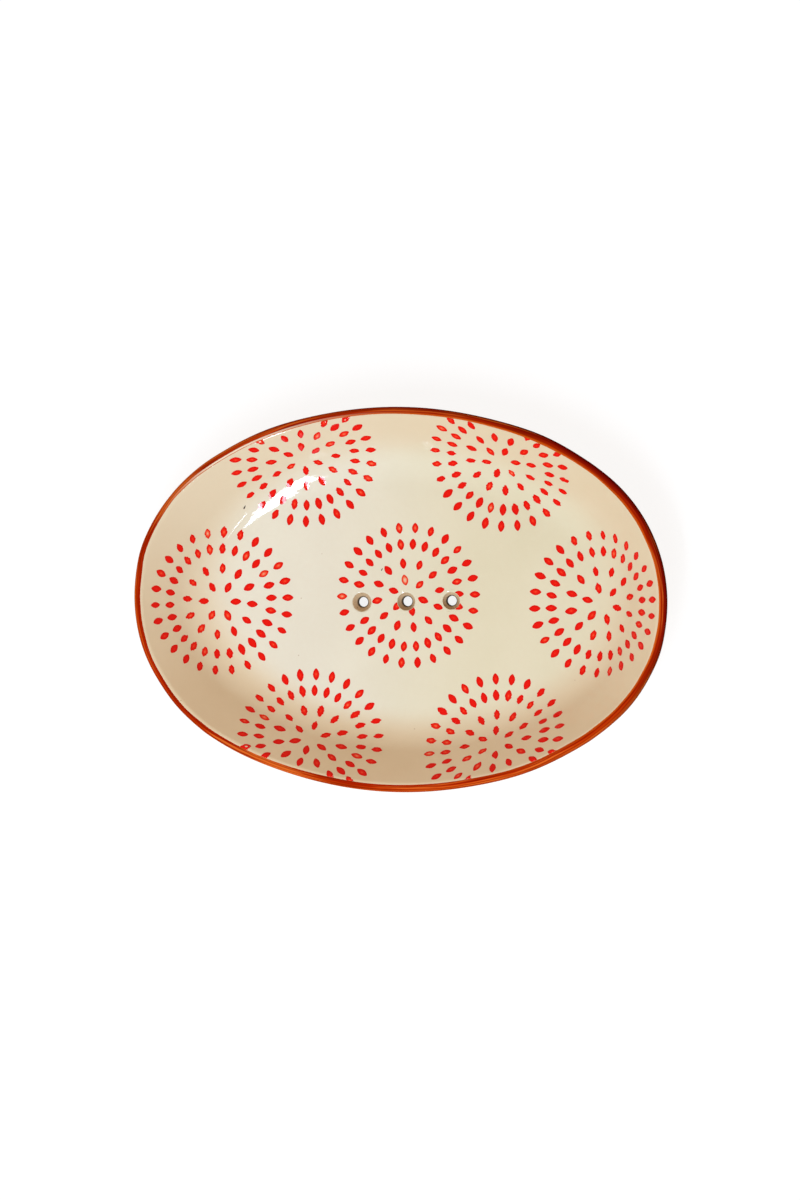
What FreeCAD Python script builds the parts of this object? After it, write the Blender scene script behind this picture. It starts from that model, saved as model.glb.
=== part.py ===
# Oval stoneware soap dish with a rounded lip, three drain holes and a luted foot ring.
# The bisque body, the foot ring, three coats of glaze and the painted rim band are separate solids.
# Frame: +Z up, X along the length, Y along the width, origin under the middle on the standing plane.
# Every oval is drawn with arcs from four centres, so one set in from the rim stays parallel to it.

import FreeCAD
import Part
import math
import os

import Sketcher

# How Sketcher counts the points of a curve, and its own X axis, which starts at the origin
START_POINT, END_POINT, CENTRE_POINT = range(1, 4)
X_AXIS = -1
ORIGIN = (X_AXIS, START_POINT)

UP = FreeCAD.Vector(0, 0, 1)

doc = FreeCAD.newDocument("soap_dish")


# Driving sizes, in millimetres and degrees

SIZES = [
    ("dish_length", 148, "over the finished rim"),
    ("dish_width", 105, "over the finished rim"),
    ("dish_height", 20.5, "standing plane to the top of the lip"),
    ("end_radius_share", 0.84, "plan radius round the ends of the rim, of half its width"),
    ("clay_thickness", 2.8, "wall and floor of the bisque body"),
    ("glaze_thickness", 0.3, "each coat of glaze, and the painted band"),
    ("wall_slope", 44, "degrees, wall above the horizontal"),
    ("cove_radius", 15, "curve from floor to wall, on the inside glaze"),
    ("foot_height", 5, "standing plane to the underside of the clay"),
    ("foot_width", 5, "foot ring where it is luted on"),
    ("foot_margin", 1, "flat underside left outside the foot ring"),
    ("foot_draft", 8, "degrees, both faces of the foot ring"),
    ("foot_edge_radius", 0.9, "rubbed edges of the standing face"),
    ("weep_width", 9, "drain arch in the foot ring, across its base"),
    ("weep_height", 1.8, "drain arch in the foot ring, at its crown"),
    ("drain_pitch", 12.4, "from one drain hole to the next"),
    ("drain_row_offset", 0.7, "row of drain holes short of the middle, towards the near side"),
    ("drain_row_turn", 2.1, "degrees, row of drain holes, anticlockwise from the length"),
    ("drain_bore", 2.7, "drain hole through the clay"),
    ("drain_mouth", 5, "top of the hole's funnel, and the hole in the glaze"),
    ("drain_angle", 70, "degrees, full angle of the funnel"),
    ("band_inside", 0.4, "painted band below the round of the lip, inside"),
    ("band_outside", 1.5, "painted band below the round of the lip, outside"),
]

sizes = doc.addObject("Spreadsheet::Sheet", "Sizes")
for row, (alias, number, note) in enumerate(SIZES, start=1):
    sizes.set(f"A{row}", alias)
    sizes.set(f"B{row}", str(number))
    sizes.set(f"C{row}", note)
    sizes.setAlias(f"B{row}", alias)
doc.recompute()


# Sizes worked out from those, each written once; the lip is a full round on a wall of even thickness

WORKED_OUT = [
    ("half_length", "Sizes.dish_length / 2"),
    ("half_width", "Sizes.dish_width / 2"),
    ("end_radius", "half_width * Sizes.end_radius_share"),
    ("end_centre", "half_length - end_radius"),
    ("side_radius", "(end_centre ^ 2 + half_width ^ 2 - end_radius ^ 2) / (2 * (half_width - end_radius))"),
    ("side_centre", "side_radius - half_width"),
    ("wall", "Sizes.clay_thickness + 2 * Sizes.glaze_thickness"),
    ("lip_radius", "wall / 2"),
    ("lip_clay_radius", "Sizes.clay_thickness / 2"),
    ("lip_x", "half_length - lip_radius"),
    ("lip_z", "Sizes.dish_height - lip_radius"),
    ("slope_sine", "sin(Sizes.wall_slope * 1 deg)"),
    ("slope_cosine", "cos(Sizes.wall_slope * 1 deg)"),
    ("clay_floor_z", "Sizes.foot_height + Sizes.clay_thickness"),
    ("cove_z", "clay_floor_z + Sizes.glaze_thickness + Sizes.cove_radius"),
    ("cove_x", "lip_x - (Sizes.cove_radius + lip_radius - (cove_z - lip_z) * slope_cosine) / slope_sine"),
    ("wall_length", "(lip_x - cove_x) * slope_cosine - (cove_z - lip_z) * slope_sine"),
    ("cove_clay_radius", "Sizes.cove_radius + Sizes.glaze_thickness"),
    ("heel_clay_radius", "cove_clay_radius + Sizes.clay_thickness"),
    ("heel_radius", "heel_clay_radius + Sizes.glaze_thickness"),
    ("inner_wall_length", "wall_length - Sizes.band_inside"),
    ("outer_wall_length", "wall_length - Sizes.band_outside"),
    ("foot_inset", "half_length - cove_x + Sizes.foot_margin"),
    ("foot_inner_inset", "foot_inset + Sizes.foot_width"),
    ("base_z", "Sizes.foot_height - Sizes.glaze_thickness"),
    ("weep_radius", "(Sizes.weep_width ^ 2 / 4 + Sizes.weep_height ^ 2) / (2 * Sizes.weep_height)"),
    ("weep_centre_depth", "weep_radius - Sizes.weep_height"),
]

worked = doc.addObject("App::VarSet", "Worked")
for name, expression in WORKED_OUT:
    worked.addProperty("App::PropertyFloat", name)
    worked.setExpression(name, expression)
doc.recompute()


# Sketch helpers

def point(x, y):
    return FreeCAD.Vector(x, y, 0)


def line(start, end):
    """A straight stretch of an outline."""
    return {"curve": Part.LineSegment(start, end), "first": START_POINT, "last": END_POINT}


def arc(centre, start, end, clockwise=False):
    """A round stretch of an outline; the curve itself always runs anticlockwise."""
    first, last = (end, start) if clockwise else (start, end)
    first_angle = math.atan2(first.y - centre.y, first.x - centre.x)
    last_angle = math.atan2(last.y - centre.y, last.x - centre.x)
    if last_angle <= first_angle:
        last_angle += 2 * math.pi
    circle = Part.Circle(centre, UP, first.distanceToPoint(centre))
    curve = Part.ArcOfCircle(circle, first_angle, last_angle)
    if clockwise:
        return {"curve": curve, "first": END_POINT, "last": START_POINT}
    return {"curve": curve, "first": START_POINT, "last": END_POINT}


def draw_loop(sketch, stretches):
    """Adds a closed outline: an arc runs smoothly into its neighbours, and two lines meet at a corner."""
    curves = [sketch.addGeometry(stretch["curve"]) for stretch in stretches]
    for here, curve in enumerate(curves):
        there = (here + 1) % len(curves)
        meets_line = isinstance(stretches[there]["curve"], Part.LineSegment)
        corner = meets_line and isinstance(stretches[here]["curve"], Part.LineSegment)
        kind = "Coincident" if corner else "Tangent"
        sketch.addConstraint(Sketcher.Constraint(kind, curve, stretches[here]["last"],
                                                 curves[there], stretches[there]["first"]))
    return curves


def bind(sketch, name, expression, value, kind, *where):
    """Adds a named dimension to a sketch and ties it to the sheet."""
    index = sketch.addConstraint(Sketcher.Constraint(kind, *where, value))
    sketch.renameConstraint(index, name)
    sketch.setExpression("Constraints." + name, expression)


def new_body(label):
    body = doc.addObject("PartDesign::Body", label)
    body.Label = label
    return body


def new_sketch(body, name, plane, height=None):
    """A sketch on one of the body's own origin planes, raised to a height where one is given."""
    sketch = body.newObject("Sketcher::SketchObject", name)
    support = next(item for item in body.Origin.OriginFeatures if item.Role == plane)
    sketch.AttachmentSupport = [(support, "")]
    sketch.MapMode = "FlatFace"
    if height:
        sketch.setExpression("AttachmentOffset.Base.z", height)
    return sketch


def draw_oval(sketch, name, inset_name=None):
    """The rim's oval, or one set in from it; it starts and ends on the X axis, at the right-hand end."""
    inset = getattr(worked, inset_name) if inset_name else 0
    less_inset = f" - Worked.{inset_name}" if inset_name else ""
    end_radius = worked.end_radius - inset
    side_radius = worked.side_radius - inset
    reach = side_radius / math.hypot(worked.end_centre, worked.side_centre)
    join_x = worked.end_centre * reach
    join_y = worked.side_centre * reach - worked.side_centre
    right = point(worked.end_centre, 0)
    left = point(-worked.end_centre, 0)
    seam = point(worked.end_centre + end_radius, 0)
    curves = draw_loop(sketch, [
        arc(right, seam, point(join_x, join_y)),
        arc(point(0, -worked.side_centre), point(join_x, join_y), point(-join_x, join_y)),
        arc(left, point(-join_x, join_y), point(-join_x, -join_y)),
        arc(point(0, worked.side_centre), point(-join_x, -join_y), point(join_x, -join_y)),
        arc(right, point(join_x, -join_y), seam),
    ])
    first_end, far_side, other_end, near_side, last_end = curves
    sketch.addConstraint(Sketcher.Constraint("PointOnObject", first_end, START_POINT, X_AXIS))
    sketch.addConstraint(Sketcher.Constraint("PointOnObject", first_end, CENTRE_POINT, X_AXIS))
    sketch.addConstraint(Sketcher.Constraint("PointOnObject", other_end, CENTRE_POINT, X_AXIS))
    sketch.addConstraint(Sketcher.Constraint("Equal", first_end, last_end))
    sketch.addConstraint(Sketcher.Constraint("Equal", first_end, other_end))
    sketch.addConstraint(Sketcher.Constraint("Equal", far_side, near_side))
    bind(sketch, name + "_right", "Worked.end_centre", worked.end_centre,
         "DistanceX", *ORIGIN, first_end, CENTRE_POINT)
    bind(sketch, name + "_left", "Worked.end_centre", worked.end_centre,
         "DistanceX", other_end, CENTRE_POINT, *ORIGIN)
    bind(sketch, name + "_end_radius", "Worked.end_radius" + less_inset, end_radius, "Radius", first_end)
    bind(sketch, name + "_side_radius", "Worked.side_radius" + less_inset, side_radius, "Radius", far_side)


def draw_drains(sketch):
    """Three circles as wide as the mouths of the drain holes, in a row that was set out by eye: it lies
    a little short of the middle and turned off the length."""
    turn = math.radians(sizes.drain_row_turn)
    middle_place = point(0, -sizes.drain_row_offset)
    step = point(math.cos(turn), math.sin(turn)) * sizes.drain_pitch
    row = sketch.addGeometry(Part.LineSegment(middle_place - step, middle_place + step), True)
    circles = []
    for place in (middle_place - step, middle_place, middle_place + step):
        circle = Part.Circle(place, UP, sizes.drain_mouth / 2)
        circles.append(sketch.addGeometry(circle))
    left, middle, right = circles
    sketch.addConstraint(Sketcher.Constraint("Coincident", row, START_POINT, left, CENTRE_POINT))
    sketch.addConstraint(Sketcher.Constraint("Coincident", row, END_POINT, right, CENTRE_POINT))
    sketch.addConstraint(Sketcher.Constraint("Symmetric", row, START_POINT, row, END_POINT,
                                             middle, CENTRE_POINT))
    sketch.addConstraint(Sketcher.Constraint("Vertical", *ORIGIN, middle, CENTRE_POINT))
    sketch.addConstraint(Sketcher.Constraint("Equal", middle, left))
    sketch.addConstraint(Sketcher.Constraint("Equal", middle, right))
    bind(sketch, "row_offset", "Sizes.drain_row_offset", sizes.drain_row_offset,
         "DistanceY", middle, CENTRE_POINT, *ORIGIN)
    bind(sketch, "row_turn", "Sizes.drain_row_turn * 1 deg", turn, "Angle", row)
    bind(sketch, "row_length", "2 * Sizes.drain_pitch", 2 * sizes.drain_pitch, "Distance", row)
    bind(sketch, "drain_mouth", "Sizes.drain_mouth", sizes.drain_mouth, "Diameter", middle)


def draw_coat(sketch, centre, start_side, end_side, face_radius, clay_radius, start_length, end_length):
    """The section of a coat that runs straight, round a centre and straight again, on the clay behind it.
    The four sizes and the centre are names from the sheet or worked out from it; the sides are directions
    from the centre, and the coat runs clockwise from the first of them to the second."""
    middle = point(getattr(worked, centre + "_x"), getattr(worked, centre + "_z"))
    amounts = {}
    for name in (face_radius, clay_radius, start_length, end_length):
        owner, alias = name.split(".")
        amounts[name] = float(getattr(doc.getObject(owner), alias))
    along_start = point(start_side.y, -start_side.x)
    along_end = point(end_side.y, -end_side.x)
    face_start = middle + start_side * amounts[face_radius]
    face_end = middle + end_side * amounts[face_radius]
    clay_start = middle + start_side * amounts[clay_radius]
    clay_end = middle + end_side * amounts[clay_radius]
    step_back = along_start * -amounts[start_length]
    step_on = along_end * amounts[end_length]
    curves = draw_loop(sketch, [
        line(face_start + step_back, face_start),
        arc(middle, face_start, face_end, clockwise=True),
        line(face_end, face_end + step_on),
        line(face_end + step_on, clay_end + step_on),
        line(clay_end + step_on, clay_end),
        arc(middle, clay_end, clay_start),
        line(clay_start, clay_start + step_back),
        line(clay_start + step_back, face_start + step_back),
    ])
    face_in, face_round, face_out, end_cap, clay_out, clay_round, clay_in, start_cap = curves
    sketch.addConstraint(Sketcher.Constraint("Coincident", face_round, CENTRE_POINT,
                                             clay_round, CENTRE_POINT))
    sketch.addConstraint(Sketcher.Constraint("Parallel", face_in, clay_in))
    sketch.addConstraint(Sketcher.Constraint("Parallel", face_out, clay_out))
    sketch.addConstraint(Sketcher.Constraint("Perpendicular", face_in, start_cap))
    sketch.addConstraint(Sketcher.Constraint("Perpendicular", face_out, end_cap))
    bind(sketch, "centre_x", f"Worked.{centre}_x", middle.x, "DistanceX", *ORIGIN, face_round, CENTRE_POINT)
    bind(sketch, "centre_z", f"Worked.{centre}_z", middle.y, "DistanceY", *ORIGIN, face_round, CENTRE_POINT)
    bind(sketch, "face_radius", face_radius, amounts[face_radius], "Radius", face_round)
    bind(sketch, "clay_radius", clay_radius, amounts[clay_radius], "Radius", clay_round)
    bind(sketch, "start_length", start_length, amounts[start_length], "Distance", face_in)
    bind(sketch, "end_length", end_length, amounts[end_length], "Distance", face_out)
    return curves


def slope_down(sketch, wall_line):
    """Sets a line that runs down the wall to the wall's slope."""
    bind(sketch, "wall_slope", "(Sizes.wall_slope - 180) * 1 deg", math.radians(sizes.wall_slope) - math.pi,
         "Angle", wall_line)


def sweep_round(body, section):
    """Carries a section round the rim's oval; the section stands on the plane where the oval starts."""
    spine = new_sketch(body, body.Label + "_spine", "XY_Plane")
    draw_oval(spine, "rim")
    doc.recompute()
    sweep = body.newObject("PartDesign::AdditivePipe", body.Label + "_sweep")
    sweep.Profile = section
    sweep.Spine = spine
    sweep.Mode = "Frenet"
    doc.recompute()


def pad_up(body, sketch, length):
    pad = body.newObject("PartDesign::Pad", body.Label + "_plate")
    pad.Profile = sketch
    pad.setExpression("Length", length)
    doc.recompute()


# Directions square to the wall in a section, towards the outside and towards the inside, and straight down
OUTWARD = point(worked.slope_sine, -worked.slope_cosine)
INWARD = point(-worked.slope_sine, worked.slope_cosine)
DOWN = point(0, -1)


# Bisque body: a wall of even thickness from a full-round lip through the cove to a flat floor, then the
# floor plate inside it and the three funnel-mouthed drain holes

dish_body = new_body("dish_body")
wall_section = new_sketch(dish_body, "dish_body_section", "XZ_Plane")
lip = point(worked.lip_x, worked.lip_z)
cove = point(worked.cove_x, worked.cove_z)
plate_edge_x = worked.half_length - worked.foot_inset
curves = draw_loop(wall_section, [
    line(point(plate_edge_x, worked.clay_floor_z), point(worked.cove_x, worked.clay_floor_z)),
    arc(cove, cove + DOWN * worked.cove_clay_radius, cove + OUTWARD * worked.cove_clay_radius),
    line(cove + OUTWARD * worked.cove_clay_radius, lip + INWARD * worked.lip_clay_radius),
    arc(lip, lip + INWARD * worked.lip_clay_radius, lip + OUTWARD * worked.lip_clay_radius, clockwise=True),
    line(lip + OUTWARD * worked.lip_clay_radius, cove + OUTWARD * worked.heel_clay_radius),
    arc(cove, cove + OUTWARD * worked.heel_clay_radius, cove + DOWN * worked.heel_clay_radius,
        clockwise=True),
    line(point(worked.cove_x, sizes.foot_height), point(plate_edge_x, sizes.foot_height)),
    line(point(plate_edge_x, sizes.foot_height), point(plate_edge_x, worked.clay_floor_z)),
])
floor_line, cove_arc, inner_wall, lip_arc, outer_wall, heel_arc, underside, plate_edge = curves
wall_section.addConstraint(Sketcher.Constraint("Horizontal", floor_line))
wall_section.addConstraint(Sketcher.Constraint("Horizontal", underside))
wall_section.addConstraint(Sketcher.Constraint("Vertical", plate_edge))
wall_section.addConstraint(Sketcher.Constraint("Coincident", cove_arc, CENTRE_POINT,
                                               heel_arc, CENTRE_POINT))
bind(wall_section, "cove_radius", "Worked.cove_clay_radius", worked.cove_clay_radius, "Radius", cove_arc)
bind(wall_section, "heel_radius", "Worked.heel_clay_radius", worked.heel_clay_radius, "Radius", heel_arc)
bind(wall_section, "lip_radius", "Worked.lip_clay_radius", worked.lip_clay_radius, "Radius", lip_arc)
bind(wall_section, "lip_x", "Worked.lip_x", worked.lip_x, "DistanceX", *ORIGIN, lip_arc, CENTRE_POINT)
bind(wall_section, "lip_z", "Worked.lip_z", worked.lip_z, "DistanceY", *ORIGIN, lip_arc, CENTRE_POINT)
bind(wall_section, "floor_z", "Worked.clay_floor_z", worked.clay_floor_z,
     "DistanceY", *ORIGIN, floor_line, START_POINT)
bind(wall_section, "plate_edge_x", "Worked.half_length - Worked.foot_inset", plate_edge_x,
     "DistanceX", *ORIGIN, floor_line, START_POINT)
bind(wall_section, "wall_slope", "Sizes.wall_slope * 1 deg", math.radians(sizes.wall_slope),
     "Angle", inner_wall)
sweep_round(dish_body, wall_section)

floor_plan = new_sketch(dish_body, "dish_body_floor", "XY_Plane", "Sizes.foot_height")
draw_oval(floor_plan, "plate", "foot_inset")
pad_up(dish_body, floor_plan, "Sizes.clay_thickness")

drain_plan = new_sketch(dish_body, "dish_body_drains", "XY_Plane", "Worked.clay_floor_z")
draw_drains(drain_plan)
doc.recompute()
volume_before = dish_body.Shape.Volume
drains = dish_body.newObject("PartDesign::Hole", "dish_body_drain_holes")
drains.Profile = drain_plan
drains.DepthType = "ThroughAll"
drains.setExpression("Diameter", "Sizes.drain_bore")
drains.HoleCutType = "Countersink"
drains.setExpression("HoleCutDiameter", "Sizes.drain_mouth")
drains.setExpression("HoleCutCountersinkAngle", "Sizes.drain_angle * 1 deg")
doc.recompute()
assert dish_body.Shape.Volume < volume_before, "the drain holes cut nothing"


# Foot ring: an oval strip of clay luted to the flat underside, drafted both ways, its standing edges
# rubbed round, with an arch through each long side so that drained water runs out from under the dish

foot_ring = new_body("foot_ring")
foot_section = new_sketch(foot_ring, "foot_ring_section", "XZ_Plane")
draft = math.radians(sizes.foot_draft)
edge_radius = sizes.foot_edge_radius
outer_x = worked.half_length - worked.foot_inset
inner_x = outer_x - sizes.foot_width
drafted_in = (edge_radius + (sizes.foot_height - edge_radius) * math.sin(draft)) / math.cos(draft)
outer_edge = point(outer_x - drafted_in, edge_radius)
inner_edge = point(inner_x + drafted_in, edge_radius)
outer_touch = outer_edge + point(math.cos(draft), -math.sin(draft)) * edge_radius
inner_touch = inner_edge + point(-math.cos(draft), -math.sin(draft)) * edge_radius
curves = draw_loop(foot_section, [
    line(point(inner_x, sizes.foot_height), point(outer_x, sizes.foot_height)),
    line(point(outer_x, sizes.foot_height), outer_touch),
    arc(outer_edge, outer_touch, outer_edge + DOWN * edge_radius, clockwise=True),
    line(outer_edge + DOWN * edge_radius, inner_edge + DOWN * edge_radius),
    arc(inner_edge, inner_edge + DOWN * edge_radius, inner_touch, clockwise=True),
    line(inner_touch, point(inner_x, sizes.foot_height)),
])
luted_face, outer_face, outer_round, standing_face, inner_round, inner_face = curves
foot_section.addConstraint(Sketcher.Constraint("Horizontal", luted_face))
foot_section.addConstraint(Sketcher.Constraint("Horizontal", standing_face))
foot_section.addConstraint(Sketcher.Constraint("PointOnObject", standing_face, START_POINT, X_AXIS))
foot_section.addConstraint(Sketcher.Constraint("Equal", outer_round, inner_round))
bind(foot_section, "outer_x", "Worked.half_length - Worked.foot_inset", outer_x,
     "DistanceX", *ORIGIN, luted_face, END_POINT)
bind(foot_section, "foot_height", "Sizes.foot_height", sizes.foot_height,
     "DistanceY", *ORIGIN, luted_face, END_POINT)
bind(foot_section, "foot_width", "Sizes.foot_width", sizes.foot_width, "Distance", luted_face)
bind(foot_section, "edge_radius", "Sizes.foot_edge_radius", edge_radius, "Radius", outer_round)
bind(foot_section, "outer_draft", "(-90 - Sizes.foot_draft) * 1 deg", -math.pi / 2 - draft,
     "Angle", outer_face)
bind(foot_section, "inner_draft", "(90 + Sizes.foot_draft) * 1 deg", math.pi / 2 + draft,
     "Angle", inner_face)
sweep_round(foot_ring, foot_section)

weep_section = new_sketch(foot_ring, "foot_ring_weep", "XZ_Plane")
weep_centre = point(0, -worked.weep_centre_depth)
weep_circle = weep_section.addGeometry(Part.Circle(weep_centre, UP, worked.weep_radius))
weep_section.addConstraint(Sketcher.Constraint("Vertical", *ORIGIN, weep_circle, CENTRE_POINT))
bind(weep_section, "weep_centre_depth", "Worked.weep_centre_depth", worked.weep_centre_depth,
     "DistanceY", weep_circle, CENTRE_POINT, *ORIGIN)
bind(weep_section, "weep_radius", "Worked.weep_radius", worked.weep_radius, "Radius", weep_circle)
doc.recompute()
volume_before = foot_ring.Shape.Volume
weeps = foot_ring.newObject("PartDesign::Pocket", "foot_ring_weeps")
weeps.Profile = weep_section
weeps.Type = "ThroughAll"
weeps.SideType = "Symmetric"
doc.recompute()
assert foot_ring.Shape.Volume < volume_before, "the drain arches cut nothing"


# Inside glaze: from the lower edge of the painted band down the wall and the cove, then over the floor,
# where it stops short of each drain hole

inner_glaze = new_body("inner_glaze")
inner_section = new_sketch(inner_glaze, "inner_glaze_section", "XZ_Plane")
curves = draw_coat(inner_section, "cove", OUTWARD, DOWN, "Sizes.cove_radius", "Worked.cove_clay_radius",
                   "Worked.inner_wall_length", "Sizes.foot_margin")
slope_down(inner_section, curves[0])
inner_section.addConstraint(Sketcher.Constraint("Horizontal", curves[2]))
sweep_round(inner_glaze, inner_section)

inner_plan = new_sketch(inner_glaze, "inner_glaze_floor", "XY_Plane", "Worked.clay_floor_z")
draw_oval(inner_plan, "plate", "foot_inset")
draw_drains(inner_plan)
pad_up(inner_glaze, inner_plan, "Sizes.glaze_thickness")


# Outside glaze: from the lower edge of the painted band down the wall and round the heel to the foot ring

outer_glaze = new_body("outer_glaze")
outer_section = new_sketch(outer_glaze, "outer_glaze_section", "XZ_Plane")
curves = draw_coat(outer_section, "cove", OUTWARD, DOWN, "Worked.heel_radius", "Worked.heel_clay_radius",
                   "Worked.outer_wall_length", "Sizes.foot_margin")
slope_down(outer_section, curves[0])
outer_section.addConstraint(Sketcher.Constraint("Horizontal", curves[2]))
sweep_round(outer_glaze, outer_section)


# Base glaze: the plate of glaze inside the foot ring, open under each drain hole

base_glaze = new_body("base_glaze")
base_plan = new_sketch(base_glaze, "base_glaze_plan", "XY_Plane", "Worked.base_z")
draw_oval(base_plan, "plate", "foot_inner_inset")
draw_drains(base_plan)
pad_up(base_glaze, base_plan, "Sizes.glaze_thickness")


# Rim band: brushed on over the lip, between the inside and the outside glaze

rim_band = new_body("rim_band")
band_section = new_sketch(rim_band, "rim_band_section", "XZ_Plane")
curves = draw_coat(band_section, "lip", INWARD, OUTWARD, "Worked.lip_radius", "Worked.lip_clay_radius",
                   "Sizes.band_inside", "Sizes.band_outside")
slope_down(band_section, curves[2])
band_section.addConstraint(Sketcher.Constraint("Parallel", curves[0], curves[2]))
sweep_round(rim_band, band_section)


# One file for each solid, written once everything is sound

doc.recompute()
for item in doc.Objects:
    assert "Invalid" not in item.State and "Error" not in item.State, f"{item.Label} did not build"

os.makedirs("parts", exist_ok=True)
for body in (dish_body, foot_ring, inner_glaze, outer_glaze, base_glaze, rim_band):
    shape = body.Shape
    sound = not shape.isNull() and shape.isValid() and len(shape.Solids) == 1
    assert sound, f"{body.Label} is not one sound solid"
    shape.exportStep(f"parts/{body.Label}.step")
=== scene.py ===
import math
import random

import bmesh
import bpy
from mathutils import Matrix, Vector


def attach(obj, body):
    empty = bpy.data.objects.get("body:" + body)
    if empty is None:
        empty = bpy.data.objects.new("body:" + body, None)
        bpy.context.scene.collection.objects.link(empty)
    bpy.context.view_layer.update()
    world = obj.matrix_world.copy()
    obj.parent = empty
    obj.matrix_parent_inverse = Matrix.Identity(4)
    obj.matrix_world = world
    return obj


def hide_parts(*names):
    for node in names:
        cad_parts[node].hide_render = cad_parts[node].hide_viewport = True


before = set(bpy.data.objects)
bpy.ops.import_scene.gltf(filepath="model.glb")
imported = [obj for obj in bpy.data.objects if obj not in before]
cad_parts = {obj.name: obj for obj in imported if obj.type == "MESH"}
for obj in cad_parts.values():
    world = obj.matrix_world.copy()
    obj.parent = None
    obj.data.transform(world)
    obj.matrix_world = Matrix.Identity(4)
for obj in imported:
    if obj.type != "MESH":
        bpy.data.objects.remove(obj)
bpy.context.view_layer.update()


# Dish body: stoneware pressed over an oval mould and fired once before it is glazed.
# The coat hides it all but the funnels of the three drain holes, which are wiped bare;
# low in the bores the clay is painted dark brown, a painted shade for the shadow down the holes.

mm = 0.001


def paint(red, green, blue):
    """A colour as it is mixed, 0 to 255, in the form that a shader takes."""
    parts = [part / 255 for part in (red, green, blue)]
    return [part / 12.92 if part < 0.04045 else ((part + 0.055) / 1.055) ** 2.4 for part in parts] + [1]


def new_finish(name, roughness):
    finish = bpy.data.materials.new(name)
    finish.use_nodes = True
    shader = finish.node_tree.nodes["Principled BSDF"]
    shader.inputs["Roughness"].default_value = roughness
    return finish, shader


def add_node(finish, kind, inputs=(), **settings):
    """Adds a node with its settings; an input is a value, or the output of another node."""
    node = finish.node_tree.nodes.new(kind)
    for setting, value in settings.items():
        setattr(node, setting, value)
    for socket, value in dict(inputs).items():
        if isinstance(value, bpy.types.NodeSocket):
            finish.node_tree.links.new(value, node.inputs[socket])
        else:
            node.inputs[socket].default_value = value
    return node


def mottle(finish, size, detail=3.0, stretch=(1, 1, 1), where=None):
    """Cloudy variation with patches of about a given size, from 0 to 1."""
    if where is None:
        where = add_node(finish, "ShaderNodeTexCoord").outputs["Object"]
    turned = add_node(finish, "ShaderNodeMapping", {"Vector": where, "Scale": stretch})
    cloud = add_node(finish, "ShaderNodeTexNoise",
                     {"Vector": turned.outputs["Vector"], "Scale": 1 / size, "Detail": detail})
    return cloud.outputs["Fac"]


def grade(finish, amount, *stops):
    """Colours along an amount; each stop is a place from 0 to 1 and a colour."""
    ramp = add_node(finish, "ShaderNodeValToRGB", {"Fac": amount})
    places = ramp.color_ramp.elements
    while len(places) < len(stops):
        places.new(1.0)
    for place, (position, colour) in zip(places, stops):
        place.position = position
        place.color = colour
    return ramp.outputs["Color"]


def reckon(finish, operation, first, second=0.0, third=0.0):
    node = add_node(finish, "ShaderNodeMath", {0: first, 1: second, 2: third}, operation=operation)
    return node.outputs["Value"]


def lay_over(finish, amount, under, over):
    """One colour laid over another by an amount from 0 to 1."""
    node = add_node(finish, "ShaderNodeMix", {0: amount, 6: under, 7: over}, data_type="RGBA")
    return node.outputs[2]


def dress(finish, shader, colour, relief=None, depth=0.0, roughness=None):
    links = finish.node_tree.links
    links.new(colour, shader.inputs["Base Color"])
    if relief is not None:
        bump = add_node(finish, "ShaderNodeBump", {"Height": relief, "Distance": depth, "Strength": 1.0})
        links.new(bump.outputs["Normal"], shader.inputs["Normal"])
    if roughness is not None:
        links.new(roughness, shader.inputs["Roughness"])


def bare_clay(name, light, dark, grit, bore_shade_height=None):
    """Matt fired clay with fine grog in it, darkened below a height where one is given: painted shade down
    the bores.
    """
    clay, shader = new_finish(name, 0.85)
    cloud = mottle(clay, 6 * mm)
    sand = mottle(clay, 0.35 * mm, 4.0)
    tone = grade(clay, cloud, (0.35, dark), (0.65, light))
    specks = grade(clay, sand, (0.3, (1, 1, 1, 1)), (0.36, (0, 0, 0, 1)))
    tone = lay_over(clay, specks, tone, grit)
    if bore_shade_height:
        where = add_node(clay, "ShaderNodeTexCoord").outputs["Object"]
        height = add_node(clay, "ShaderNodeSeparateXYZ", {"Vector": where}).outputs["Z"]
        # Painted shade: below this height the clay turns dark brown, for the shadow down the drain-hole
        # bores.
        bore_shade = add_node(clay, "ShaderNodeMapRange",
                       {"Value": height, 1: bore_shade_height, 2: bore_shade_height + 0.4 * mm, 3: 1.0, 4: 0.0})
        tone = lay_over(clay, bore_shade.outputs["Result"], tone, paint(66, 50, 34))
    dress(clay, shader, tone, sand, 0.06 * mm)
    return clay


def put_on(node, finish):
    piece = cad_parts[node]
    piece.data.materials.clear()
    piece.data.materials.append(finish)


put_on("dish_body", bare_clay("wiped_clay", paint(208, 184, 148), paint(188, 162, 126), paint(122, 98, 68),
                              bore_shade_height=6.3 * mm))


# Foot ring: a strip of the same clay luted to the underside, wiped clean of glaze before
# the second firing, so that it stays bare and a little rough where the dish stands.

put_on("foot_ring", bare_clay("foot_clay", paint(198, 170, 132), paint(180, 150, 112), paint(120, 92, 64)))


# Glaze coat: the whole dish is dipped, so one skin of cream gloss glaze runs over the inside,
# the lip and the outside down to the foot ring. It is wiped back from each drain hole,
# where its edge has rounded over in the fire.

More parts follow.
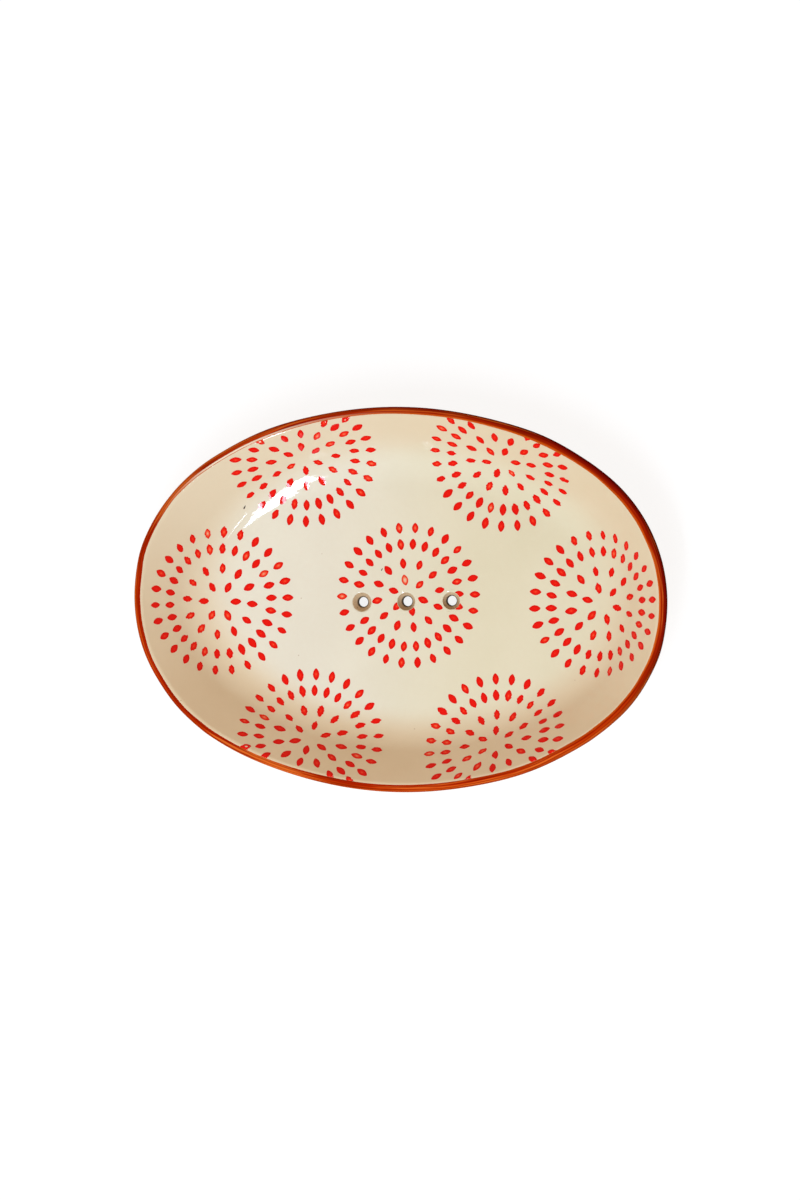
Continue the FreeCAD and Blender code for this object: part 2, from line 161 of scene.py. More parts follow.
half_length, half_width, end_radius = 74.0 * mm, 52.5 * mm, 44.1 * mm
end_centre = half_length - end_radius
side_radius = (end_centre ** 2 + half_width ** 2 - end_radius ** 2) / (2 * (half_width - end_radius))
side_centre = side_radius - half_width
join_turn = math.atan2(side_centre, end_centre)
slope = math.radians(44)
paint_build = 0.03 * mm
coat_thickness = 0.27 * mm
lip = Vector((72.3, 0, 18.8)) * mm
lip_radius = 1.7 * mm - paint_build
cove = Vector((52.707, 0, 23.1)) * mm
cove_radius = 15.0 * mm + paint_build
heel_radius = 18.4 * mm - paint_build
floor_height = cove.z - cove_radius
floor_edge = cove.x - 1.0 * mm
outward = Vector((math.sin(slope), 0, -math.cos(slope)))
facets_round = 384
inward_limit, wall_limit = 0.25 * mm, 0.34 * mm
lip_depth, lip_run = 2.4 * mm, 1.6 * mm
thumb_marks = ((67, 0.6, 7), (112, 0.4, 7), (138, -0.28, 15), (164, 0.2, 7), (214, -0.22, 9),
               (243, 0.45, 8), (291, 0.4, 7), (310, -0.27, 9), (343, 0.2, 7))

hole_row = Vector((0, -0.7, 0)) * mm
hole_step = Vector((math.cos(math.radians(2.1)), math.sin(math.radians(2.1)), 0)) * 12.4 * mm
wiped_wide = Vector((0.14, 0, 0)) * mm
hole_mouths = [(hole_row - hole_step, 2.6 * mm), (hole_row, 2.42 * mm),
               (hole_row + hole_step + wiped_wide, 2.34 * mm)]
mouth_round, mouth_flat = 0.27 * mm, 0.5 * mm


def out_of_true(turn, inset):
    """How far the rim stands out of its oval where thumbs pushed it, fading to nothing down the wall.
    A thumb mark is its bearing in degrees, its push in millimetres and its spread in degrees."""
    pushed = 0.0
    for mark, distance, spread in thumb_marks:
        apart = (math.degrees(turn) - mark + 180) % 360 - 180
        pushed += distance * mm * math.exp(-(apart / spread) ** 2)
    pushed = max(pushed, -inward_limit)
    wall_head = half_length - lip.x + lip_radius * math.sin(slope)
    wall_foot = half_length - cove.x - cove_radius * math.sin(slope)
    down_wall = min(1.0, max(0.0, (wall_foot - inset) / (wall_foot - wall_head)))
    over_lip = min(1.0, max(0.0, (lip_depth - inset) / lip_run))
    in_wall = min(pushed, wall_limit)
    return in_wall * down_wall + (pushed - in_wall) * over_lip


def on_oval(turn, inset):
    """The place on the oval that runs inside the rim by an inset, where the wall faces a turn."""
    along, across = math.cos(turn), math.sin(turn)
    inset = inset - out_of_true(turn, inset)
    if abs(across) < math.sin(join_turn):
        radius = end_radius - inset
        return math.copysign(end_centre, along) + radius * along, radius * across
    radius = side_radius - inset
    return radius * along, radius * across - math.copysign(side_centre, across)


def draw_to(bm, vert, place):
    """Carries a section on in a straight line."""
    drawn = bmesh.ops.extrude_vert_indiv(bm, verts=[vert])["verts"][0]
    drawn.co = place
    return drawn


def draw_round(bm, vert, centre, turn, steps):
    """Carries a section on round a centre; a section lies in the XZ plane."""
    made = bmesh.ops.spin(bm, geom=[vert], cent=centre, axis=(0, 1, 0), angle=turn, steps=steps)
    return next(item for item in made["geom_last"] if isinstance(item, bmesh.types.BMVert))


def spin_round(bm):
    """Turns a section into a round dish."""
    bmesh.ops.spin(bm, geom=bm.verts[:] + bm.edges[:], cent=(0, 0, 0), axis=(0, 0, 1),
                   angle=2 * math.pi, steps=facets_round, use_merge=True)


def new_piece(name, bm, finish, replaced=()):
    bmesh.ops.remove_doubles(bm, verts=bm.verts[:], dist=0.0005 * mm)
    bmesh.ops.recalc_face_normals(bm, faces=bm.faces[:])
    for face in bm.faces:
        face.smooth = True
    mesh = bpy.data.meshes.new(name)
    bm.to_mesh(mesh)
    bm.free()
    piece = bpy.data.objects.new(name, mesh)
    bpy.context.scene.collection.objects.link(piece)
    mesh.materials.append(finish)
    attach(piece, "root")
    if replaced:
        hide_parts(*replaced)
    return piece


coat = bmesh.new()
place = coat.verts.new((floor_edge, 0, cove.z - heel_radius))
place = draw_to(coat, place, cove - Vector((0, 0, heel_radius)))
place = draw_round(coat, place, cove, -slope, 10)
place = draw_to(coat, place, lip + outward * lip_radius)
place = draw_round(coat, place, lip, -math.pi, 20)
place = draw_to(coat, place, cove + outward * cove_radius)
place = draw_round(coat, place, cove, slope, 14)
place = draw_to(coat, place, Vector((floor_edge, 0, floor_height)))
spin_round(coat)
for vert in coat.verts:
    turn = math.atan2(vert.co.y, vert.co.x)
    inset = half_length - math.hypot(vert.co.x, vert.co.y)
    vert.co.x, vert.co.y = on_oval(turn, inset)

floor_rim = [edge for edge in coat.edges
             if edge.is_boundary and edge.verts[0].co.z > cove.z - heel_radius + 1 * mm]
mouth_edges = []
for centre, radius in hole_mouths:
    circle = bmesh.ops.create_circle(coat, segments=48, radius=radius + mouth_round + mouth_flat,
                                     matrix=Matrix.Translation(centre + Vector((0, 0, floor_height))))
    mouth_edges.append({edge for vert in circle["verts"] for edge in vert.link_edges})
floor_outline = floor_rim + [edge for ring in mouth_edges for edge in ring]
bmesh.ops.triangle_fill(coat, use_beauty=True, edges=floor_outline, normal=(0, 0, 1))
for (centre, radius), ring in zip(hole_mouths, mouth_edges):
    ring = list(ring)
    for step in range(5):
        bent = math.radians(22.5 * step)
        made = bmesh.ops.extrude_edge_only(coat, edges=ring)["geom"]
        ring = [item for item in made if isinstance(item, bmesh.types.BMEdge) and item.is_boundary]
        reach = radius + mouth_round * (1 - math.sin(bent))
        for vert in {vert for edge in ring for vert in edge.verts}:
            from_centre = Vector((vert.co.x - centre.x, vert.co.y - centre.y, 0)).normalized() * reach
            vert.co = centre + from_centre
            vert.co.z = floor_height - mouth_round * (1 - math.cos(bent))


def cream_gloss(name):
    """Cream glaze, cloudy, with a few faint iron specks and a rippled gloss. Its tone also carries painted
    light
    and shade: whiter on the floor, where the glaze gathered thick and light is painted on, yellower towards
    the right, greyer up the far wall and paler at the far left."""
    glaze, shader = new_finish(name, 0.04)
    cloud = mottle(glaze, 22 * mm, 4.0)
    fine = mottle(glaze, 1.2 * mm, 3.0)
    where = add_node(glaze, "ShaderNodeTexCoord").outputs["Object"]
    split = add_node(glaze, "ShaderNodeSeparateXYZ", {"Vector": where})
    pool_length, pool_width, pool_shift = 56 * mm, 38 * mm, (-0.04, -0.1, 0)
    from_pool = add_node(glaze, "ShaderNodeVectorMath",
                         {0: where, 1: (1 / pool_length, 1 / pool_width, 0), 2: pool_shift},
                         operation="MULTIPLY_ADD")
    out_of_pool = add_node(glaze, "ShaderNodeVectorMath", {0: from_pool.outputs["Vector"]},
                           operation="LENGTH")
    # Thick glaze and painted light: the floor is whiter inside this oval.
    pooled_and_lit = add_node(glaze, "ShaderNodeMapRange", {"Value": out_of_pool.outputs["Value"],
                      1: 0.86, 2: 1.12, 3: 1.0, 4: 0.0}, interpolation_type="SMOOTHSTEP")
    to_right = add_node(glaze, "ShaderNodeMapRange", {"Value": split.outputs["X"],
                        1: -30 * mm, 2: 25 * mm, 3: 0.0, 4: 1.0}, interpolation_type="SMOOTHSTEP")
    to_far = add_node(glaze, "ShaderNodeMapRange", {"Value": split.outputs["Y"],
                      1: -30 * mm, 2: 35 * mm, 3: 0.0, 4: 1.0}, interpolation_type="SMOOTHSTEP")
    # Painted light and shade: the glaze is greyer up the far wall, yellower to the right and paler at the
    # far left.
    thin_near = grade(glaze, cloud, (0.3, paint(222, 204, 168)), (0.7, paint(228, 211, 177)))
    thin_far_shaded = grade(glaze, cloud, (0.3, paint(217, 202, 168)), (0.7, paint(223, 209, 177)))
    thick_left = grade(glaze, cloud, (0.3, paint(225, 223, 204)), (0.7, paint(231, 230, 211)))
    thick_right = grade(glaze, cloud, (0.3, paint(218, 214, 183)), (0.7, paint(224, 220, 191)))
    thin = lay_over(glaze, to_far.outputs["Result"], thin_near, thin_far_shaded)
    to_left = reckon(glaze, "SUBTRACT", 1.0, to_right.outputs["Result"])
    far_left = reckon(glaze, "MULTIPLY", to_left, to_far.outputs["Result"])
    thin = lay_over(glaze, reckon(glaze, "MULTIPLY", far_left, 0.62), thin, paint(223, 212, 184))
    thick = lay_over(glaze, to_right.outputs["Result"], thick_left, thick_right)
    tone = lay_over(glaze, pooled_and_lit.outputs["Result"], thin, thick)
    tone = lay_over(glaze, reckon(glaze, "MULTIPLY", fine, 0.12), tone, paint(214, 192, 156))
    spots = add_node(glaze, "ShaderNodeTexVoronoi", {"Vector": where, "Scale": 1 / (7 * mm)})
    near = grade(glaze, spots.outputs["Distance"], (0.018, (1, 1, 1, 1)), (0.035, (0, 0, 0, 1)))
    few = reckon(glaze, "GREATER_THAN", spots.outputs["Color"], 0.62)
    tone = lay_over(glaze, reckon(glaze, "MULTIPLY", reckon(glaze, "MULTIPLY", near, few), 0.45),
                    tone, paint(150, 110, 70))
    ripple = reckon(glaze, "ADD", mottle(glaze, 16 * mm, 1.0), reckon(glaze, "MULTIPLY", fine, 0.02))
    sheen = reckon(glaze, "MULTIPLY_ADD", cloud, 0.03, 0.02)
    dress(glaze, shader, tone, ripple, 0.08 * mm, sheen)
    return glaze


cream_glaze = cream_gloss("cream_glaze")
glaze_coat = new_piece("glaze_coat", coat, cream_glaze, ("inner_glaze", "outer_glaze"))
skin = glaze_coat.modifiers.new("skin", "SOLIDIFY")
skin.thickness = coat_thickness
skin.offset = -1


# Base glaze: the same dip of cream glaze, left on the underside inside the foot ring. It was fired on
# with the coat above, and is open under the drain holes, where it was wiped away.

put_on("base_glaze", cream_gloss("base_cream"))


# Rim band: iron oxide stirred in water and brushed round the lip by hand. It is thin and orange where the
# brush ran dry and red-brown where it was full; its colour also carries painted light and shade, lit orange
# on the left and near lip and nearly black over the right and far lip, where the wash was also heavier. At
# the far left a cream line along the lip is a painted highlight.

outside_run = 1.5 * mm
lip_full = lip_radius + paint_build - 0.02 * mm
band_steps = 24
shaded_turn, glint_turn, glint_spread = math.radians(32), math.radians(119), math.radians(14)


def glint_here(turn):
    """From 0 to 1, how strongly the painted highlight along the far-left lip shows."""
    return math.exp(-((turn - glint_turn) / glint_spread) ** 2)


def lean_here(turn):
    """From 0 to 1, how dry the brush had run before it was filled again."""
    far_left = math.exp(-((turn - math.radians(139)) / 0.3) ** 2)
    near_left = math.exp(-((turn + math.radians(110)) / 0.25) ** 2)
    return far_left + 0.7 * near_left


def band_inset(turn):
    """How far in from the rim the brush reached, round the dish."""
    sway = 0.22 * math.cos(turn + 0.3) + 0.14 * math.cos(3 * turn - 3.0) + 0.08 * math.cos(5 * turn + 3.0)
    shake = 0.035 * math.sin(17 * turn + 0.4) + 0.025 * math.sin(29 * turn + 2.0)
    # The band reaches further in at the far left, to hold the painted highlight and a thin line of iron
    # inside it.
    return (2.21 + sway + shake + 0.45 * glint_here(turn)) * mm


def along_band(distance):
    """The section of the band at a distance in over the lip: inset, height and the way that it faces."""
    run = distance - outside_run
    if run < 0:
        place = lip + outward * lip_full + Vector((outward.z, 0, -outward.x)) * -run
        return half_length - place.x, place.z, outward
    if run < math.pi * lip_full:
        bent = run / lip_full - (math.pi / 2 - slope)
        facing = Vector((math.cos(bent), 0, math.sin(bent)))
        place = lip + facing * lip_full
        return half_length - place.x, place.z, facing
    down_wall = Vector((-math.cos(slope), 0, -math.sin(slope)))
    place = lip - outward * lip_full + down_wall * (run - math.pi * lip_full)
    return half_length - place.x, place.z, -outward


def band_reach(turn):
    """The band's full breadth over the lip, from its outside edge to its inside edge."""
    inset = band_inset(turn)
    round_end = lip_full * (1 + math.sin(slope))
    if inset > round_end:
        return outside_run + math.pi * lip_full + (inset - round_end) / math.cos(slope)
    return outside_run + lip_full * (math.acos(1 - inset / lip_full) + math.pi / 2 - slope)


band = bmesh.new()
place = band.verts.new((half_length, 0, 0))
for step in range(1, band_steps + 1):
    place = draw_to(band, place, (half_length, 0, step / band_steps))
spin_round(band)
inside_layer = band.verts.layers.float.new("from_inner_edge")
shaded_layer = band.verts.layers.float.new("heavy_and_shaded")
glint_layer = band.verts.layers.float.new("painted_glint")
lean_layer = band.verts.layers.float.new("lean")
for vert in band.verts:
    turn = math.atan2(vert.co.y, vert.co.x)
    across = vert.co.z
    breadth = band_reach(turn)
    inset, height, facing = along_band(across * breadth)
    sunk = 1.6 * paint_build if across < 0.01 or across > 0.99 else 0
    x, y = on_oval(turn, inset + facing.x * sunk)
    vert.co = (x, y, height - facing.z * sunk)
    vert[inside_layer] = (1 - across) * breadth / mm
    # Painted shade: strongest over the right and far lip, which is turned away from the lamps.
    vert[shaded_layer] = 0.5 + 0.5 * math.cos(turn - shaded_turn)
    vert[glint_layer] = glint_here(turn)
    vert[lean_layer] = lean_here(turn)


brushed_iron, iron_shader = new_finish("brushed_iron", 0.3)
iron_shader.inputs["Specular IOR Level"].default_value = 0.0
inside = add_node(brushed_iron, "ShaderNodeAttribute", attribute_name="from_inner_edge").outputs["Fac"]
heavy_and_shaded = add_node(brushed_iron, "ShaderNodeAttribute", attribute_name="heavy_and_shaded").outputs["Fac"]
painted_glint = add_node(brushed_iron, "ShaderNodeAttribute", attribute_name="painted_glint").outputs["Fac"]
seat = add_node(brushed_iron, "ShaderNodeTexCoord").outputs["Object"]
split = add_node(brushed_iron, "ShaderNodeSeparateXYZ", {"Vector": seat})
brush = add_node(brushed_iron, "ShaderNodeCombineXYZ",
                 {"X": split.outputs["X"], "Y": split.outputs["Y"],
                  "Z": reckon(brushed_iron, "MULTIPLY", inside, 5 * mm)})
streaks = mottle(brushed_iron, 8 * mm, 3.0, (0.35, 0.35, 2.2), brush.outputs["Vector"])
blots = mottle(brushed_iron, 14 * mm, 3.0)
uneven = reckon(brushed_iron, "MULTIPLY_ADD", reckon(brushed_iron, "SUBTRACT", streaks, 0.5), 1.2,
                reckon(brushed_iron, "MULTIPLY", reckon(brushed_iron, "SUBTRACT", blots, 0.5), 0.8))
shown = reckon(brushed_iron, "DIVIDE", reckon(brushed_iron, "ADD", inside, uneven), 3.0)
# Painted light and shade: the first ramp is the lit orange of the left and near lip, the second the shaded,
# nearly black brown of the right and far lip.
dry_and_lit_tone = grade(brushed_iron, shown, (0.0, paint(196, 94, 34)), (0.08, paint(170, 42, 3)),
                 (0.18, paint(160, 28, 1)), (0.32, paint(176, 42, 2)), (0.5, paint(188, 58, 6)),
                 (0.7, paint(190, 74, 16)), (0.9, paint(184, 80, 26)))
wet_and_shaded_tone = grade(brushed_iron, shown, (0.0, paint(200, 100, 36)), (0.12, paint(190, 68, 7)),
                 (0.28, paint(174, 42, 3)), (0.45, paint(160, 28, 2)), (0.6, paint(138, 15, 2)),
                 (0.8, paint(102, 8, 1)), (1.0, paint(64, 4, 1)))
share_wet_and_shaded = grade(brushed_iron, reckon(brushed_iron, "MULTIPLY_ADD", uneven, 0.2, heavy_and_shaded),
                  (0.58, (0, 0, 0, 1)), (0.86, (1, 1, 1, 1)))
iron_tone = lay_over(brushed_iron, share_wet_and_shaded, dry_and_lit_tone, wet_and_shaded_tone)
lean = add_node(brushed_iron, "ShaderNodeAttribute", attribute_name="lean").outputs["Fac"]
run_dry = grade(brushed_iron, reckon(brushed_iron, "MULTIPLY_ADD", lean, 0.16, streaks),
                (0.53, (0, 0, 0, 1)), (0.66, (0.7, 0.7, 0.7, 1)))
rich = grade(brushed_iron, streaks, (0.36, (0.6, 0.6, 0.6, 1)), (0.47, (0, 0, 0, 1)))
iron_tone = lay_over(brushed_iron, run_dry, iron_tone, paint(222, 112, 40))
iron_tone = lay_over(brushed_iron, rich, iron_tone, paint(108, 12, 1))
wander = reckon(brushed_iron, "MULTIPLY_ADD", blots, 1.6, inside)
bristles = reckon(brushed_iron, "SINE", reckon(brushed_iron, "MULTIPLY", wander, 2 * math.pi / 0.75))
furrows = grade(brushed_iron, reckon(brushed_iron, "MULTIPLY", bristles, streaks),
                (0.12, (0, 0, 0, 1)), (0.42, (0.55, 0.55, 0.55, 1)))
iron_tone = lay_over(brushed_iron, furrows, iron_tone, paint(128, 16, 1))
by_edge = grade(brushed_iron, inside, (0.15, (1, 1, 1, 1)), (0.85, (0, 0, 0, 1)))
by_load = grade(brushed_iron, heavy_and_shaded, (0.3, (0, 0, 0, 1)), (0.5, (0.8, 0.8, 0.8, 1)))
fringe = reckon(brushed_iron, "MULTIPLY", by_edge, by_load)
iron_tone = lay_over(brushed_iron, fringe, iron_tone, paint(206, 98, 22))
# Painted highlight: a cream line along the far-left lip, where the window glints on the glaze; the inner
# edge of the band also fades to bare glaze.
glint_line = grade(brushed_iron, inside, (0.34, (0, 0, 0, 1)), (0.42, (1, 1, 1, 1)),
                  (0.76, (1, 1, 1, 1)), (0.9, (0, 0, 0, 1)))
edge_fade = grade(brushed_iron, inside, (0.0, (1, 1, 1, 1)), (0.12, (0, 0, 0, 1)))
bare_edge_and_glint = reckon(brushed_iron, "MAXIMUM", reckon(brushed_iron, "MULTIPLY", glint_line, painted_glint), edge_fade)
iron_tone = lay_over(brushed_iron, bare_edge_and_glint, iron_tone, paint(236, 220, 192))
dress(brushed_iron, iron_shader, iron_tone, streaks, 0.03 * mm)
new_piece("brushed_band", band, brushed_iron, ("rim_band",))


# Rosettes: a transfer of seed-shaped dabs of red enamel in four rings, the same one laid on the glaze
# seven times at different turns, one in the middle and six round it, and fired on. Dabs that a drain
# hole or the band runs through are cut by it.

# Middle in millimetres, turn in degrees, stretch of the rings, and length of the dabs in millimetres
rosettes = {
    "middle": (0.58, 0.97, 99.0, 0.986, 3.0),
    "left": (-52.36, -1.86, 115.1, 1.019, 3.18), "right": (54.62, -0.13, 102.1, 1.005, 3.26),
    "far_left": (-28.42, 37.97, 266.2, 0.996, 3.3), "far_right": (26.57, 37.93, 244.3, 0.996, 3.2),
    "near_left": (-25.13, -38.7, 258.6, 0.996, 3.42), "near_right": (26.59, -38.55, 270.6, 0.996, 3.28),
}
dab_rings = ((4.37 * mm, 6, 5.1), (8.96 * mm, 12, 1.6), (14.28 * mm, 26, 0.8), (18.82 * mm, 26, 0.0))
dab_breadth, dab_height, lip_lift = 1.9 * mm, 0.014 * mm, 0.045 * mm
dish_top = 20.497 * mm
lip_inset = half_length - lip.x + lip_radius
worn_dabs = {("middle", 0, 0): 0.95, ("middle", 0, 5): 0.6}
hand = random.Random(7)


def from_rim(x, y):
    """How far a place lies inside the rim, and the way that the wall there faces out."""
    turn = math.atan2(abs(y), abs(x) - end_centre)
    if turn < join_turn:
        inset = end_radius - math.hypot(abs(x) - end_centre, y)
    else:
        turn = math.atan2(abs(y) + side_centre, abs(x))
        inset = side_radius - math.hypot(x, abs(y) + side_centre)
    out = Vector((math.copysign(math.cos(turn), x), math.copysign(math.sin(turn), y), 0))
    from_oval = inset
    for closer in range(3):
        inset = from_oval + out_of_true(math.atan2(out.y, out.x), inset)
    return inset, out


def on_glaze(x, y):
    """The place on the inside glaze over a point of the plan, and the way that it faces."""
    inset, out = from_rim(x, y)
    reach = half_length - inset
    cove_end = cove.x + cove_radius * math.sin(slope)
    lip_start = lip.x - lip_radius * math.sin(slope)
    if reach < cove.x:
        return Vector((x, y, floor_height)), Vector((0, 0, 1))
    if reach < cove_end:
        rise = math.sqrt(cove_radius ** 2 - (reach - cove.x) ** 2)
        facing = (Vector((0, 0, 1)) * rise - out * (reach - cove.x)) / cove_radius
        return Vector((x, y, cove.z - rise)), facing
    if reach > lip_start:
        rise = math.sqrt(max(0.0, lip_radius ** 2 - (reach - lip.x) ** 2))
        facing = (Vector((0, 0, 1)) * rise + out * (reach - lip.x)) / lip_radius
        return Vector((x, y, lip.z + rise)), facing
    height = cove.z - cove_radius * math.cos(slope) + (reach - cove_end) * math.tan(slope)
    return Vector((x, y, height)), Vector((0, 0, math.cos(slope))) - out * math.sin(slope)


def walk(x, y, heading, distance):
    """Goes straight on over the glaze, as a brush is carried: the place reached and the heading there."""
    place, facing = on_glaze(x, y)
    east = (Vector((1, 0, 0)) - facing * facing.x).normalized()
    ahead = east * math.cos(heading) + facing.cross(east) * math.sin(heading)
    steps = max(1, int(distance / (0.5 * mm)))
    for step in range(steps):
        ahead = (ahead - facing * ahead.dot(facing)).normalized()
        place = place + ahead * (distance / steps)
        place, facing = on_glaze(place.x, place.y)
    ahead = (ahead - facing * ahead.dot(facing)).normalized()
    return place, ahead, facing


red_enamel, enamel_shader = new_finish("red_enamel", 0.05)
enamel_shader.inputs["Specular IOR Level"].default_value = 0.32
dab_uv = add_node(red_enamel, "ShaderNodeUVMap", uv_map="dab").outputs["UV"]
from_middle = add_node(red_enamel, "ShaderNodeVectorMath", {0: dab_uv, 1: (0.5, 0.5, 0)},
                       operation="DISTANCE")
out_from_middle = reckon(red_enamel, "MULTIPLY", from_middle.outputs["Value"], 2.0)
thinness = add_node(red_enamel, "ShaderNodeAttribute", attribute_name="thinness").outputs["Fac"]
brush_grain = mottle(red_enamel, 0.6 * mm, 2.0)
grained = reckon(red_enamel, "ADD", thinness, reckon(red_enamel, "MULTIPLY", brush_grain, 0.3))
thin_middle = reckon(red_enamel, "SUBTRACT", grained, out_from_middle)
red_tone = grade(red_enamel, thin_middle, (0.0, paint(230, 6, 1)), (0.35, paint(240, 42, 15)),
                 (0.7, paint(242, 108, 72)), (1.0, paint(232, 190, 156)))
dark_edge = grade(red_enamel, out_from_middle, (0.45, (0, 0, 0, 1)), (0.92, (1, 1, 1, 1)))
red_tone = lay_over(red_enamel, reckon(red_enamel, "MULTIPLY", dark_edge, 0.45), red_tone, paint(190, 5, 1))
dress(red_enamel, enamel_shader, red_tone)

for name, (middle_x, middle_y, turn, stretch, dab_length) in rosettes.items():
    rosette = bmesh.new()
    uv_layer = rosette.loops.layers.uv.new("dab")
    thin_layer = rosette.verts.layers.float.new("thinness")
    for ring, (ring_radius, dabs, offset) in enumerate(dab_rings):
        for dab in range(dabs):
            heading = math.radians(turn + offset) + 2 * math.pi * dab / dabs
            middle, ahead, facing = walk(middle_x * mm, middle_y * mm, heading, ring_radius * stretch)
            twist = hand.gauss(0, 0.05)
            size = 1 + hand.gauss(0, 0.04)
            thin = max(0.0, hand.gauss(0.21, 0.24)) + worn_dabs.get((name, ring, dab), 0.0)
            inset, out = from_rim(middle.x, middle.y)
            nearest = min((Vector((middle.x, middle.y, 0)) - centre).length - radius
                          for centre, radius in hole_mouths)
            if inset < 1.4 * mm or nearest < -0.3 * mm:
                continue
            side = facing.cross(ahead)
            ahead, side = (ahead * math.cos(twist) + side * math.sin(twist),
                           side * math.cos(twist) - ahead * math.sin(twist))
            made = bmesh.ops.create_uvsphere(rosette, u_segments=14, v_segments=4, radius=1)["verts"]
            for face in {face for vert in made for face in vert.link_faces}:
                for loop in face.loops:
                    loop[uv_layer].uv = (0.5 + loop.vert.co.x / 2, 0.5 + loop.vert.co.y / 2)
            for edge in {edge for vert in made for edge in vert.link_edges}:
                edge.smooth = max(abs(vert.co.z) for vert in edge.verts) > 0.1
            for vert in made:
                length, breadth, lift = vert.co
                pinch = 1 - 0.38 * length * length
                spread = ahead * length * dab_length / 2 * mm + side * breadth * pinch * dab_breadth / 2
                spot = middle + spread * size
                for centre, radius in hole_mouths:
                    off = Vector((spot.x - centre.x, spot.y - centre.y, 0))
                    edge_reach = radius + mouth_round * 0.6
                    if off.length < edge_reach:
                        spot = centre + off.normalized() * edge_reach
                inset, out = from_rim(spot.x, spot.y)
                under_band = band_inset(math.atan2(out.y, out.x)) - 0.15 * mm - inset
                if under_band > 0:
                    spot = spot - out * under_band
                ground, up = on_glaze(spot.x, spot.y)
                rise = dab_height + lip_lift * min(1, max(0, lip_inset + 1 * mm - inset) / (1 * mm))
                vert.co = ground + up * lift * min(rise, dish_top - ground.z)
                vert[thin_layer] = thin
    new_piece("rosette_" + name, rosette, red_enamel)


# Iron specks: two dark slivers of iron scale, one on the far left wall and one by the middle rosette.
# They fell on the glaze before it was fired, and melted flat into it.

specks = bmesh.new()
for x, y, length, breadth, heading in ((-45.6, 24.2, 1.25, 0.42, 62), (-6.95, 7.9, 0.9, 0.28, 62)):
    made = bmesh.ops.create_uvsphere(specks, u_segments=10, v_segments=4, radius=1)["verts"]
    for vert in made:
        along = vert.co.x * length / 2 * mm
        beside = vert.co.y * breadth / 2 * mm * (1 - 0.3 * vert.co.x)
        lean = math.radians(heading)
        ground, up = on_glaze(x * mm + along * math.cos(lean) - beside * math.sin(lean),
                              y * mm + along * math.sin(lean) + beside * math.cos(lean))
        vert.co = ground + up * vert.co.z * 3 * dab_height
iron_scale, scale_shader = new_finish("iron_scale", 0.35)
dress(iron_scale, scale_shader, grade(iron_scale, mottle(iron_scale, 0.3 * mm),
                                      (0.35, paint(38, 30, 18)), (0.65, paint(84, 68, 46))))
new_piece("iron_specks", specks, iron_scale)


# Floor: a plain white table of painted board that the dish stands on. The camera sees it white,
# with the soft shadow of the dish on it, and it throws a little light back up.

table = bmesh.new()
bmesh.ops.create_grid(table, x_segments=1, y_segments=1, size=3.0)
table_mesh = bpy.data.meshes.new("table")
table.to_mesh(table_mesh)
table.free()
table_piece = bpy.data.objects.new("table", table_mesh)
bpy.context.scene.collection.objects.link(table_piece)
table_white = bpy.data.materials.new("table_white")
table_white.use_nodes = True
table_white.node_tree.nodes.clear()
seen = add_node(table_white, "ShaderNodeLightPath")
by_eye = reckon(table_white, "MAXIMUM", seen.outputs["Is Camera Ray"],
                reckon(table_white, "MAXIMUM", seen.outputs["Is Glossy Ray"],
                       seen.outputs["Is Transmission Ray"]))
matt_tone = lay_over(table_white, by_eye, (0.72, 0.72, 0.72, 1), (0.16, 0.16, 0.16, 1))
matt = add_node(table_white, "ShaderNodeBsdfDiffuse", {"Color": matt_tone})
glow_strength = reckon(table_white, "MULTIPLY", by_eye, 0.88)
glow = add_node(table_white, "ShaderNodeEmission", {"Strength": glow_strength})
both = add_node(table_white, "ShaderNodeAddShader", {0: matt.outputs[0], 1: glow.outputs[0]})
add_node(table_white, "ShaderNodeOutputMaterial", {"Surface": both.outputs[0]})
table_mesh.materials.append(table_white)


# Light: a tall bright window above the near side, with a corner pane, its lower end and an edge that
# show as separate streaks in the glaze, a low window behind it, a soft panel overhead that shows in no
# reflection, and a warm pale room.

room = bpy.data.worlds.new("room")
room.use_nodes = True
bpy.context.scene.world = room
room.node_tree.nodes.clear()
seen = add_node(room, "ShaderNodeLightPath")
by_eye = seen.outputs["Is Camera Ray"]
room_tone = lay_over(room, by_eye, (0.54, 0.37, 0.25, 1), (1, 1, 1, 1))
backdrop = add_node(room, "ShaderNodeBackground", {"Color": room_tone, "Strength": 1.0})
add_node(room, "ShaderNodeOutputWorld", {"Surface": backdrop.outputs[0]})


daylight = (0.785, 0.96, 1.165)


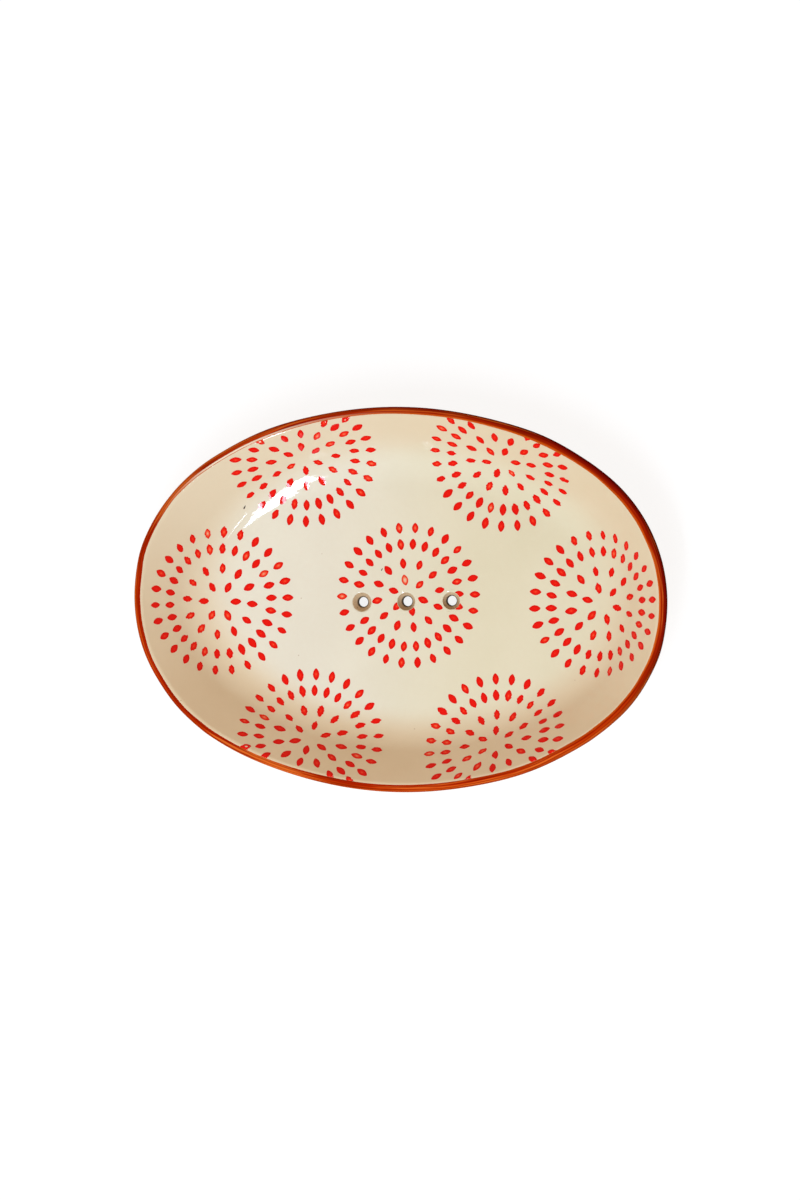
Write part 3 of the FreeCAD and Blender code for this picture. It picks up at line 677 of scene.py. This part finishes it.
def hang_light(name, direction, distance, width, length, turn, power, shape="ELLIPSE", in_reflections=True):
    """An area light that faces the dish; its length lies towards the near side, turned by some degrees."""
    lamp = bpy.data.lights.new(name, "AREA")
    lamp.shape = shape
    lamp.size, lamp.size_y = width, length
    lamp.energy = power
    lamp.color = daylight
    light = bpy.data.objects.new(name, lamp)
    light.visible_glossy = in_reflections
    bpy.context.scene.collection.objects.link(light)
    back = Vector(direction).normalized()
    right = Vector((0, 1, 0)).cross(back).normalized()
    light.matrix_world = (Matrix.Translation(back * distance)
                          @ Matrix((right, back.cross(right), back)).transposed().to_4x4()
                          @ Matrix.Rotation(math.radians(turn), 4, "Z"))


hang_light("window", (-0.012, -0.68, 1.0), 1.1, 0.078, 0.53, 8, 2.15)
hang_light("window_corner", (-0.062, -0.72, 1.0), 1.1, 0.03, 0.1, 10, 0.1)
hang_light("window_end", (-0.075, -0.36, 1.0), 1.1, 0.05, 0.436, 17, 1.15)
hang_light("window_edge", (0.05, -0.39, 1.0), 1.1, 0.013, 0.27, 4, 0.18)
hang_light("low_window", (0.05, -1.0, 0.1), 2.0, 0.16, 0.2, 0, 0.1)
hang_light("panel", (-0.15, -0.5, 0.9), 1.6, 1.0, 1.0, 0, 13.65, "SQUARE", in_reflections=False)


# Camera: held above the dish on a long lens, leaning about 11 degrees to the right and a little
# to the far side, at the framing of the photograph.

aim = Vector((0, 0, 20.5)) * mm
lean_right, lean_far, turned = math.radians(11.37), math.radians(1.39), math.radians(1.04)
back = Vector((math.tan(lean_right), math.tan(lean_far), 1)).normalized()
right = Vector((0, 1, 0)).cross(back).normalized()
up = back.cross(right)
right, up = (right * math.cos(turned) + up * math.sin(turned),
             up * math.cos(turned) - right * math.sin(turned))
camera_data = bpy.data.cameras.new("camera")
camera_data.sensor_fit = "VERTICAL"
camera_data.sensor_height = 36
camera_data.lens = 171.0
camera = bpy.data.objects.new("camera", camera_data)
bpy.context.scene.collection.objects.link(camera)
stand = aim + back * 1550 * mm + right * 0.745 * mm - up * 0.07 * mm
camera.matrix_world = Matrix.Translation(stand) @ Matrix((right, up, back)).transposed().to_4x4()
bpy.context.scene.camera = camera
bpy.context.scene.view_settings.view_transform = "Standard"

bpy.context.view_layer.update()
